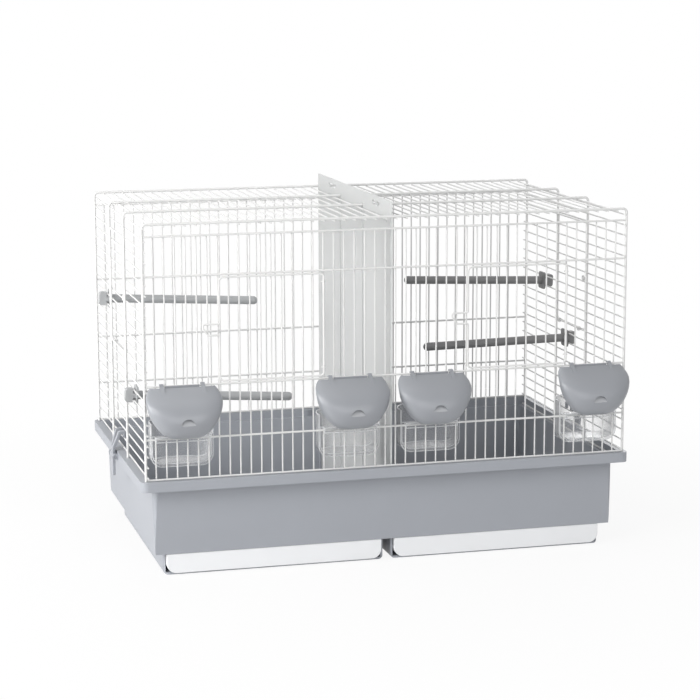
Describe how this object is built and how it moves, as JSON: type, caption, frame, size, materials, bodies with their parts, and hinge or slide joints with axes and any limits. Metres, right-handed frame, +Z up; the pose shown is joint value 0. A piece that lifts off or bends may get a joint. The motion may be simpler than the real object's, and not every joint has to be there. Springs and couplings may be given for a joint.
{
  "type": "canary breeding cage",
  "caption": "Long welded-wire breeding cage with a lift-out divider, bent-wire doors, hooded feeders, perches and a moulded tray with pull-out drawers.",
  "frame": {"origin": "middle of the footprint of the whole object, on the ground under the tray's two bays", "axes": "+X to the right along the long front, +Y to the back, +Z up; the doors and the feeders are at the -Y side"},
  "size_m": [0.6144, 0.3995, 0.4333],
  "materials": {
    "white_wire": "white enamelled steel wire, semi-gloss",
    "grey_plastic": "moulded, satin gloss",
    "dark_plastic": "moulded, matt",
    "clear_plastic": "clear moulded",
    "milky_plastic": "translucent sheet",
    "white_plastic": "moulded, satin"
  },
  "bodies": {
    "cage": {"tray": "grey_plastic", "hoop_front": "white_wire", "hoop_mid_front": "white_wire", "hoop_mid_rear": "white_wire", "hoop_rear": "white_wire", "roof_wires_left": "white_wire", "roof_wires_right": "white_wire", "side_wires_left": "white_wire", "side_wires_right": "white_wire", "front_wires_left": "white_wire", "front_wires_right": "white_wire", "back_wires_left": "white_wire", "back_wires_right": "white_wire", "front_rail_base": "white_wire", "front_rail_cup": "white_wire", "front_rail_hood": "white_wire", "front_rail_door": "white_wire", "front_rail_top": "white_wire", "back_rails": "white_wire"},
    "front_door_left": {"front_door_frame_left": "white_wire", "front_door_bars_left": "white_wire"},
    "side_door_left": {"side_door_frame_left": "white_wire", "side_door_bars_left": "white_wire"},
    "drawer_tray_left": {"drawer_left": "white_plastic"},
    "clip_left": {"latch_clip_left": "grey_plastic"},
    "front_door_right": {"front_door_frame_right": "white_wire", "front_door_bars_right": "white_wire"},
    "side_door_right": {"side_door_frame_right": "white_wire", "side_door_bars_right": "white_wire"},
    "drawer_tray_right": {"drawer_right": "white_plastic"},
    "clip_right": {"latch_clip_right": "grey_plastic"},
    "feeder_hood_1": {"hood_1": "grey_plastic"},
    "feeder_cup_1": {"cup_1": "clear_plastic"},
    "perch_rod_1": {"perch_1": "dark_plastic"},
    "feeder_hood_2": {"hood_2": "grey_plastic"},
    "feeder_cup_2": {"cup_2": "clear_plastic"},
    "perch_rod_2": {"perch_2": "dark_plastic"},
    "feeder_hood_3": {"hood_3": "grey_plastic"},
    "feeder_cup_3": {"cup_3": "clear_plastic"},
    "perch_rod_3": {"perch_3": "dark_plastic"},
    "feeder_hood_4": {"hood_4": "grey_plastic"},
    "feeder_cup_4": {"cup_4": "clear_plastic"},
    "perch_rod_4": {"perch_4": "dark_plastic"},
    "divider": {"partition": "milky_plastic"}
  },
  "joints": [
    {"name": "front_door_left_hinge", "type": "hinge", "parent": "cage", "child": "front_door_left", "pos_m": [-0.08125, -0.15957, 0.29225], "axis": [0, 0, 1], "range_deg": [0, 105]},
    {"name": "front_door_right_hinge", "type": "hinge", "parent": "cage", "child": "front_door_right", "pos_m": [0.21875, -0.15957, 0.29225], "axis": [0, 0, 1], "range_deg": [0, 105]},
    {"name": "side_door_left_hinge", "type": "hinge", "parent": "cage", "child": "side_door_left", "pos_m": [-0.2913, 0.01953, 0.24675], "axis": [0, -1, 0], "range_deg": [0, 95]},
    {"name": "side_door_right_hinge", "type": "hinge", "parent": "cage", "child": "side_door_right", "pos_m": [0.2913, 0.01953, 0.24675], "axis": [0, 1, 0], "range_deg": [0, 95]},
    {"name": "hood_1_hinge", "type": "hinge", "parent": "cage", "child": "feeder_hood_1", "pos_m": [-0.25, -0.16173, 0.22875], "axis": [1, 0, 0], "range_deg": [-80, 0]},
    {"name": "hood_2_hinge", "type": "hinge", "parent": "cage", "child": "feeder_hood_2", "pos_m": [-0.05, -0.16173, 0.22875], "axis": [1, 0, 0], "range_deg": [-80, 0]},
    {"name": "hood_3_hinge", "type": "hinge", "parent": "cage", "child": "feeder_hood_3", "pos_m": [0.05, -0.16173, 0.22875], "axis": [1, 0, 0], "range_deg": [-80, 0]},
    {"name": "hood_4_hinge", "type": "hinge", "parent": "cage", "child": "feeder_hood_4", "pos_m": [0.25, -0.16173, 0.22875], "axis": [1, 0, 0], "range_deg": [-80, 0]},
    {"name": "cup_1_lift", "type": "slide", "parent": "cage", "child": "feeder_cup_1", "axis": [0, 0, 1], "range_m": [0, 0.008]},
    {"name": "cup_2_lift", "type": "slide", "parent": "cage", "child": "feeder_cup_2", "axis": [0, 0, 1], "range_m": [0, 0.008]},
    {"name": "cup_3_lift", "type": "slide", "parent": "cage", "child": "feeder_cup_3", "axis": [0, 0, 1], "range_m": [0, 0.008]},
    {"name": "cup_4_lift", "type": "slide", "parent": "cage", "child": "feeder_cup_4", "axis": [0, 0, 1], "range_m": [0, 0.008]},
    {"name": "perch_1_twist", "type": "hinge", "parent": "cage", "child": "perch_rod_1", "pos_m": [-0.2913, 0.11728, 0.2905], "axis": [0.9984, 0, -0.0558], "range_deg": [0, 90]},
    {"name": "perch_2_twist", "type": "hinge", "parent": "cage", "child": "perch_rod_2", "pos_m": [-0.2913, -0.07172, 0.203], "axis": [0.998, 0, -0.0628], "range_deg": [0, 90]},
    {"name": "perch_3_twist", "type": "hinge", "parent": "cage", "child": "perch_rod_3", "pos_m": [0.2913, 0.11528, 0.2905], "axis": [-0.9992, 0, 0.0401], "range_deg": [0, 90]},
    {"name": "perch_4_twist", "type": "hinge", "parent": "cage", "child": "perch_rod_4", "pos_m": [0.2913, 0.02778, 0.228], "axis": [-0.9998, 0, -0.0175], "range_deg": [0, 90]},
    {"name": "divider_lift", "type": "slide", "parent": "cage", "child": "divider", "axis": [0, 0, 1], "range_m": [0, 0.3]},
    {"name": "drawer_left_slide", "type": "slide", "parent": "cage", "child": "drawer_tray_left", "axis": [0, -1, 0], "range_m": [0, 0.27]},
    {"name": "drawer_right_slide", "type": "slide", "parent": "cage", "child": "drawer_tray_right", "axis": [0, -1, 0], "range_m": [0, 0.27]},
    {"name": "clip_left_pivot", "type": "hinge", "parent": "cage", "child": "clip_left", "pos_m": [-0.30375, 0.01578, 0.112], "axis": [0, -1, 0], "range_deg": [0, 45]},
    {"name": "clip_right_pivot", "type": "hinge", "parent": "cage", "child": "clip_right", "pos_m": [0.30375, 0.01578, 0.112], "axis": [0, 1, 0], "range_deg": [0, 45]}
  ]
}
